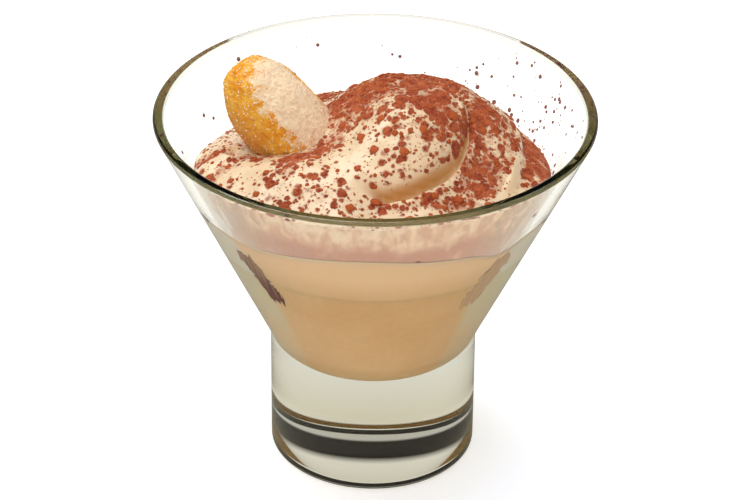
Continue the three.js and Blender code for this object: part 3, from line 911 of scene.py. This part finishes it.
class DESSERT_OT_glass(bpy.types.Operator):
    """Turn the conical glass with its solid foot"""

    bl_idname = "dessert.glass"
    bl_label = "Glass"

    def arc(self, centre, radius, start, end, steps):
        """Points of an arc in the profile plane, between two angles in degrees."""
        angles = np.radians(np.linspace(start, end, steps + 1))
        return [(centre[0] + radius * math.cos(a), centre[1] + radius * math.sin(a)) for a in angles]

    def run(self, start, end):
        """Points along a straight run, close to its ends, so that the shading stays true there."""
        length = math.dist(start, end)
        shares = [near / length for near in (0.12, 0.4, 1.2) if near < 0.4 * length]
        shares = [*shares, 0.5, *(1 - share for share in reversed(shares))]
        return [tuple(mix(a, b, share) for a, b in zip(start, end, strict=True)) for share in shares]

    def execute(self, context):
        lip = GLASS_HEIGHT - LIP_RADIUS
        crease = (FOOT_RADIUS + CREASE_ROUNDING, CREASE_HEIGHT - CREASE_ROUNDING * 0.23)
        middle = (0, BOWL_FLOOR_HEIGHT)
        shares = np.linspace(0, 1, 25)
        profile = [(RECESS_RADIUS * share, RECESS_DEPTH * (1 - share**2)) for share in shares]
        for arc in (
            ((FOOT_RADIUS - FOOT_EDGE_RADIUS, FOOT_EDGE_RADIUS), FOOT_EDGE_RADIUS, -90, 0, 16),
            (crease, CREASE_ROUNDING, 180, 180 - CONE_TILT, 6),
            ((cone_radius(lip, LIP_RADIUS), lip), LIP_RADIUS, -CONE_TILT, 90, 12),
            ((cone_radius(lip, WALL_THICKNESS - LIP_RADIUS), lip), LIP_RADIUS, 90, 180 - CONE_TILT, 8),
            ((BOWL_RADIUS, BOWL_HEIGHT), BOWL_FLOOR_FILLET, -CONE_TILT, -90, 20),
        ):
            points = self.arc(*arc)
            profile += [*self.run(profile[-1], points[0]), *points]
        profile += [*self.run(profile[-1], middle), middle]
        piece = turned("serving_glass", profile, context.scene.dessert_glass.steps)
        finish_piece(piece, pressed_glass(), "clear_glass", "glass")
        return {"FINISHED"}


class DESSERT_OT_layers(bpy.types.Operator):
    """Fill the glass with the coffee mousse and the cocoa layer on it"""

    bl_idname = "dessert.layers"
    bl_label = "Mousse and cocoa layers"

    rings = 40

    def execute(self, context):
        settings = context.scene.dessert_food
        self.add_mousse(settings)
        self.add_cocoa(settings)
        return {"FINISHED"}

    def add_mousse(self, settings):
        """The lower mousse, from the bowl's floor to the cocoa."""
        levels = [*np.linspace(-2, -1, self.rings + 1), 0]
        piece, azimuth, share, level = drum("lower_mousse", levels, self.rings, self.rings, 192)
        on_top = level > -0.5
        on_floor = level < -1.999
        radius, height = self.bowl_line(np.where(on_floor, share, 1.0))
        climb = mix(height, layer_middle(azimuth, 1.0), level + 2)
        z = np.select([on_top, on_floor], [layer_middle(azimuth, share), height], climb)
        r = np.select([on_top, on_floor], [share * food_radius(z), radius], food_radius(z))
        place_points(piece, around(r, azimuth, z))
        crisp_edges(piece)
        beside = between(from_front(azimuth) - lean_at(z), LAYER_STREAK[0] + 4, 95, 6)
        set_attribute(piece, "side", beside * mix(0.4, 1.0, smooth(40, 56, z)))
        finish_piece(piece, coffee_mousse(settings), "coffee_mousse", "coffee_mousse")

    def bowl_line(self, share):
        """Radius and height on the bowl's floor, from its centre at 0 to the cone at 1."""
        reach = BOWL_FLOOR_FILLET + INTO_GLASS
        flat = 0.2
        angle = np.radians(mix(-90, -CONE_TILT, np.clip((share - flat) / (1 - flat), 0, 1)))
        inner = np.minimum(share / flat, 1)
        return inner * BOWL_RADIUS + reach * np.cos(angle), BOWL_HEIGHT + reach * np.sin(angle)

    def add_cocoa(self, settings):
        """The cocoa between the layers, thin inside and thick where it shows at the glass."""
        levels = np.linspace(-1, 1, self.rings + 1)
        piece, azimuth, share, level = drum("cocoa_seam", levels, self.rings, self.rings, 480)
        right = (hand(azimuth) + 1) / 2
        wander = 1.8 * lumps_at(3, level * 3, hand(azimuth), 0)
        streaks = shown_in_streaks(azimuth, LAYER_LEAN * level + wander) ** mix(3.0, 1.3, right)
        back = shown_at_back(azimuth)
        ragged = lumps_at(3, azimuth / 0.9, level * 0.6, 0)
        ends = LAYER_HALF_FRONT * streaks * (1 + 0.2 * ragged)
        far_ends = mix(0.15, LAYER_HALF_BACK * (1 + 0.5 * ragged), back)
        half = mix(LAYER_HALF, np.maximum(ends, far_ends), share**LAYER_FLARE)
        z = layer_middle(azimuth, share) + level * half
        inset = mix(LAYER_INSET, -INTO_GLASS, np.clip(2 * np.maximum(streaks, back), 0, 1))
        place_points(piece, around(share * (food_radius(z) - inset), azimuth, z))
        to_left = 0.16 + 0.34 * level + 0.3 * ragged
        set_attribute(piece, "stirred", np.clip(mix(to_left, 0.9 + 0.1 * ragged, right), 0, 1))
        name = "cocoa powder wetted by cream"
        material = cocoa_powder(settings, name, settings.wet_dark, settings.wet_colour)
        finish_piece(piece, material, "cocoa_powder", "cocoa_layer")


class DESSERT_OT_smear(bpy.types.Operator):
    """Smear cream and cocoa on the glass above the cream, round the front"""

    bl_idname = "dessert.smear"
    bl_label = "Smear on the glass"

    def execute(self, context):
        deselect_all()
        bpy.ops.mesh.primitive_grid_add(x_subdivisions=360, y_subdivisions=48, size=2 * MM)
        piece = just_added("smeared_cream")
        across, up, _ = points_of(piece).T
        azimuth = SMEAR_MIDDLE + SMEAR_REACH * across
        torn = smooth(0.85, 1.0, np.abs(across)) * (0.5 + 9 * np.abs(lumps_at(2, azimuth / 2.5, 0, 0)))
        height = SMEAR_TOP - 0.6 * lumps_at(3, azimuth / 4, 0, 0) - torn
        low = fill_line(azimuth) - 0.15
        z = mix(low, np.maximum(height, low + 1), (up + 1) / 2)
        place_points(piece, around(cone_radius(z, WALL_THICKNESS + SMEAR_GAP), azimuth, z))
        bpy.ops.object.modifier_add(type="SOLIDIFY")
        piece.modifiers[-1].thickness = SMEAR_THICKNESS * MM
        piece.modifiers[-1].offset = -1
        bpy.ops.object.modifier_apply(modifier=piece.modifiers[-1].name)
        x, y, z = points_of(piece).T
        azimuth = azimuth_of(x, y)
        above = z - fill_line(azimuth)
        beside = from_front(azimuth)
        wisps = 6 * lumps_at(3, azimuth / 2.5, above / 8, 0)
        set_attribute(piece, "dusk", smooth(7.5, 2.0, above - 3 * smooth(8, 30, beside)))
        set_attribute(piece, "thin", 0.9 * smooth(27, 40, beside + wisps))
        set_attribute(piece, "clear", smooth(44, 58, beside + 1.5 * wisps))
        face_outward()
        finish_piece(piece, smeared_cream(context.scene.dessert_food), "dusted_cream")
        return {"FINISHED"}


class DESSERT_OT_cream(bpy.types.Operator):
    """Pile the cream on the layers, with its spiral folds"""

    bl_idname = "dessert.cream"
    bl_label = "Cream"

    def execute(self, context):
        wall_rings = 14
        levels = range(0, -wall_rings - 1, -1)
        piece, azimuth, share, level = drum("piled_cream", levels, 120, 8, 288)
        on_top = level > -0.5
        inner = share < RIM_SHARE
        line = fill_line(azimuth)
        edge = around(food_radius(line), azimuth, line).T
        x, y = (mix(SPIRAL_CENTRE[axis], edge[axis], share) for axis in (0, 1))
        side_z = mix(line, layer_middle(azimuth, 1.0), np.clip(-level / wall_rings, 0, 1))
        z = np.where(inner, layer_middle(azimuth, share), side_z)
        body = around(food_radius(z) * np.where(inner, share, 1), azimuth, z)
        points = np.where(on_top[:, None], np.column_stack([x, y, finished_top(x, y)]), body)
        place_points(piece, points)
        crisp_edges(piece)
        x, y, z = points.T
        below = np.maximum(line - z, 0)
        streaked = np.clip(0.45 + 0.9 * lumps_at(2, azimuth / 3, 0, z / 9), 0, 1)
        side_dust = 0.9 * at_the_sides(azimuth) * (1 - smooth(1, 6, below + 4 * streaked))
        wavy = from_front(azimuth) - lean_at(z) + 1.2 * lumps_at(2, z / 3, hand(azimuth), 0)
        in_front = 1 - smooth(LAYER_STREAK[0] - 1, LAYER_STREAK[0] + 2, wavy)
        for name, top, wall in (
            ("dust", np.where(inner, dust_thickness(x, y), side_dust), side_dust),
            # Painted shade: deep in the inner fold on the top, and a thin line just below the fill line on
            # the wall.
            ("shade", crease_shade(x, y), 0.8 * smooth(1.2, 0.2, below)),
            ("pressed", 0, smooth(-0.1, 1.5, below) * in_front),
            ("side", 0, between(from_front(azimuth), 0, 100, 24)),
        ):
            set_attribute(piece, name, np.where(on_top, top, wall))
        finish_piece(piece, dusted_cream(context.scene.dessert_food), "dusted_cream", "cream")
        return {"FINISHED"}


class DESSERT_OT_biscuit(bpy.types.Operator):
    """Bake the sponge finger that stands in the cream, with its sugar"""

    bl_idname = "dessert.biscuit"
    bl_label = "Biscuit and sugar"

    def execute(self, context):
        settings = context.scene.dessert_food
        deselect_all()
        bpy.ops.mesh.primitive_ico_sphere_add(subdivisions=7, radius=MM)
        piece = just_added("sponge_finger")
        ball = points_of(piece)
        across, length, through = ball.T
        axis = Vector(BISCUIT_AXIS).normalized()
        side = (Vector((0, 1, 0)) - axis * axis.y).normalized()
        axes = np.array((axis, side, side.cross(axis)))
        along = np.sign(length) * np.abs(length) ** BISCUIT_FULLNESS
        ring = np.hypot(across, through)
        swell = np.where(ring > 1e-6, np.maximum(ring, 1e-6) ** (BISCUIT_FULLNESS - 1), 0)
        form = np.column_stack([along, swell * across, swell * through])
        outward = form @ axes
        bump = BISCUIT_BUMP * np.sin(5.1 * across + 3 * length) * np.sin(6.3 * through - 4.2 * length)
        bare = bell(oval(outward @ (0.6, 0.6, 0.5), along, 0.95, 0.15, 0.16, 0.62, 0), 1)
        sugared = smooth(0.10, 0.95, outward @ (0.70, -0.42, 0.58)) * (1 - 0.9 * bare)
        crackle = -0.85 * np.abs(lumps(ball * 10, 2.2, 3)) + 0.16 * lumps(ball * 10, 0.8, 2)
        relief = bump + mix(crackle, 0.5 * crackle, sugared)
        form[:, 1:] *= 1 - BISCUIT_TAPER * along[:, None]
        points = BISCUIT_CENTRE + form * (BISCUIT_HALF + relief[:, None]) @ axes
        place_points(piece, points)
        face_outward()
        set_attribute(piece, "sugar", sugared)
        # Painted shade on the biscuit's lower side, towards the front left.
        set_attribute(piece, "painted_underside_shade", 0.8 * smooth(0.35, 1.0, outward @ (-0.62, -0.35, -0.7)))
        finish_piece(piece, baked_sponge(settings), "sugared_sponge", "biscuit")
        self.add_sugar(settings, points, read_vertices(piece, "normal"), sugared)
        return {"FINISHED"}

    def add_sugar(self, settings, points, normals, sugared):
        """Loose sugar grains, most on the sugared side, none below the cream."""
        random = np.random.RandomState(settings.seed)
        free = points[:, 2] > finished_top(points[:, 0], points[:, 1]) + 0.5
        weight = (0.25 + sugared) * free
        chosen = random.choice(len(points), settings.grains, replace=False, p=weight / weight.sum())
        sizes = random.uniform(0.10, 0.26, settings.grains)
        turns = random.uniform(0, math.pi, settings.grains)
        lump = (1, 0.3, 3, 0.9)
        piece = scattered("sugar_grains", lump, points[chosen], normals[chosen], sizes, turns)
        finish_piece(piece, sugar_crystal(settings), "sugared_sponge")


class DESSERT_OT_cocoa(bpy.types.Operator):
    """Scatter cocoa clumps and crumbs on the cream, and specks on the glass"""

    bl_idname = "dessert.cocoa"
    bl_label = "Cocoa crumbs and specks"

    def execute(self, context):
        settings = context.scene.dessert_food
        material = cocoa_powder(settings, "sifted cocoa powder", settings.cocoa_dark, settings.cocoa_colour)
        self.add_clumps(material)
        self.add_crumbs(settings, material)
        self.add_specks(settings)
        return {"FINISHED"}

    def on_cream(self, name, lump, x, y, sizes, turns, material):
        """Lumps of cocoa that lie on the cream's top, upright to it."""
        step = 0.5
        slope_x = (cream_top(x + step, y) - cream_top(x - step, y)) / (2 * step)
        slope_y = (cream_top(x, y + step) - cream_top(x, y - step)) / (2 * step)
        normals = np.column_stack([-slope_x, -slope_y, np.ones_like(x)])
        normals /= np.linalg.norm(normals, axis=1)[:, None]
        spots = np.column_stack([x, y, finished_top(x, y)])
        piece = scattered(name, lump, spots, normals, sizes, turns)
        finish_piece(piece, material, "cocoa_powder")
        return piece

    def clear_of_biscuit(self, x, y, margin):
        """True where a place is clear of the biscuit."""
        away = np.hypot(x - (BISCUIT_CENTRE[0] + CLUMP_BISCUIT_MARGIN), y - BISCUIT_CENTRE[1])
        return away > BISCUIT_HALF[1] + margin

    def on_bare_flank(self, x, y):
        """True on the dollop's bare flank, where no cocoa fell."""
        angle, past_cap, _ = round_spiral(x, y)
        near = (past_cap > BARE_FLANK[0]) & (past_cap < BARE_FLANK[1])
        return near & (angle > BARE_TURN[0]) & (angle < BARE_TURN[1])

    def draws(self, seed):
        """Endless repeatable numbers from 0 to 1, the same as the solids'."""
        state = seed
        word = 0xFFFFFFFF
        while True:
            state = (state + 0x6D2B79F5) & word
            t = ((state ^ (state >> 15)) * (1 | state)) & word
            t = ((t + ((t ^ (t >> 7)) * (61 | t) & word)) & word) ^ t
            yield ((t ^ (t >> 14)) & word) / 2**32

    def add_clumps(self, material):
        """The largest clumps, where the cream's solid has them."""
        random = self.draws(CLUMP_SEED)
        reach = cone_radius(FILL_HEIGHT, WALL_THICKNESS + SOLID_GAP) - CLUMP_GLASS_MARGIN
        places = []
        for _ in range(CLUMP_TRIES * CLUMP_COUNT):
            if len(places) == CLUMP_COUNT:
                break
            size = mix(*CLUMP_SIZE, math.sqrt(len(places) / CLUMP_COUNT))
            turn = next(random) * 2 * math.pi
            radius = reach * math.sqrt(next(random))
            x, y = radius * math.cos(turn), radius * math.sin(turn)
            free = self.clear_of_biscuit(x, y, CLUMP_BISCUIT_MARGIN + size) and not self.on_bare_flank(x, y)
            if free and all(math.hypot(x - p[0], y - p[1]) >= CLUMP_SPACING * (p[2] + size) for p in places):
                places.append((x, y, size, next(random) * math.pi))
        piece = self.on_cream("cocoa_clumps", (3, 0.3, 11, CLUMP_HEIGHT), *np.array(places).T, material)
        bpy.context.view_layer.objects.active = piece
        piece.select_set(True)
        bpy.ops.object.shade_smooth()

    def add_crumbs(self, settings, material):
        """Small crumbs, most where the cocoa lies thick."""
        random = np.random.RandomState(settings.seed + 1)
        reach = food_radius(FILL_HEIGHT) - 1.5
        tries = settings.crumbs * 6
        radius = reach * np.sqrt(random.uniform(0, 1, tries))
        angle = random.uniform(0, 2 * math.pi, tries)
        x, y = radius * np.cos(angle), radius * np.sin(angle)
        kept = random.uniform(0, 1, tries) < dust_thickness(x, y) ** 1.5
        kept &= self.clear_of_biscuit(x, y, 0.3)
        x, y = x[kept][: settings.crumbs], y[kept][: settings.crumbs]
        sizes = 0.12 + 0.5 * random.uniform(0, 1, len(x)) ** 3.5
        turns = random.uniform(0, math.pi, len(x))
        self.on_cream("cocoa_crumbs", (1, 0.3, 5, 0.6), x, y, sizes, turns, material)

    def add_specks(self, settings):
        """Cocoa that missed the cream: specks on the inner wall, most at the back right."""
        random = np.random.RandomState(settings.seed + 2)
        count = settings.specks
        azimuth = np.where(
            random.uniform(0, 1, count) < 0.65, random.normal(24, 20, count), random.uniform(-180, 180, count)
        )
        line = fill_line(azimuth)
        height = line + (GLASS_HEIGHT - 2 - line) * random.uniform(0, 1, count) ** 1.6
        spots = around(cone_radius(height, WALL_THICKNESS), azimuth, height)
        normals = around(-1, azimuth, np.full(count, CONE_SLOPE))
        sizes = 0.10 + 0.62 * random.uniform(0, 1, count) ** 3
        turns = random.uniform(0, math.pi, count)
        piece = scattered("cocoa_specks", (1, 0.45, 9, 0.35), spots, normals, sizes, turns)
        material = cocoa_powder(settings, "cocoa powder on glass", settings.cocoa_dark, settings.speck_colour)
        finish_piece(piece, material, "cocoa_powder")


class VIEW3D_PT_dessert(bpy.types.Panel):
    """The dessert's pieces and settings"""

    bl_label = "Dessert"
    bl_idname = "VIEW3D_PT_dessert"
    bl_space_type = "VIEW_3D"
    bl_region_type = "UI"
    bl_category = "Dessert"

    def draw(self, context):
        for operator in OPERATORS:
            self.layout.operator(operator.bl_idname)
        for name in SETTINGS:
            group = getattr(context.scene, name)
            for setting in group.bl_rna.properties.keys():
                if setting not in ("rna_type", "name"):
                    self.layout.prop(group, setting)


SETTINGS = {
    "dessert_stage": DessertStageSettings,
    "dessert_glass": DessertGlassSettings,
    "dessert_food": DessertFoodSettings,
}
OPERATORS = (
    DESSERT_OT_stage,
    DESSERT_OT_glass,
    DESSERT_OT_layers,
    DESSERT_OT_cream,
    DESSERT_OT_smear,
    DESSERT_OT_biscuit,
    DESSERT_OT_cocoa,
)
CLASSES = (*SETTINGS.values(), *OPERATORS, VIEW3D_PT_dessert)


def register():
    for made in CLASSES:
        bpy.utils.register_class(made)
    for name, group in SETTINGS.items():
        setattr(bpy.types.Scene, name, PointerProperty(type=group))


def unregister():
    for name in SETTINGS:
        delattr(bpy.types.Scene, name)
    for made in reversed(CLASSES):
        bpy.utils.unregister_class(made)


def main():
    register()
    bpy.ops.dessert.stage()
    bpy.ops.dessert.glass()
    bpy.ops.dessert.layers()
    bpy.ops.dessert.cream()
    bpy.ops.dessert.smear()
    bpy.ops.dessert.biscuit()
    bpy.ops.dessert.cocoa()


if __name__ == "__main__":
    main()
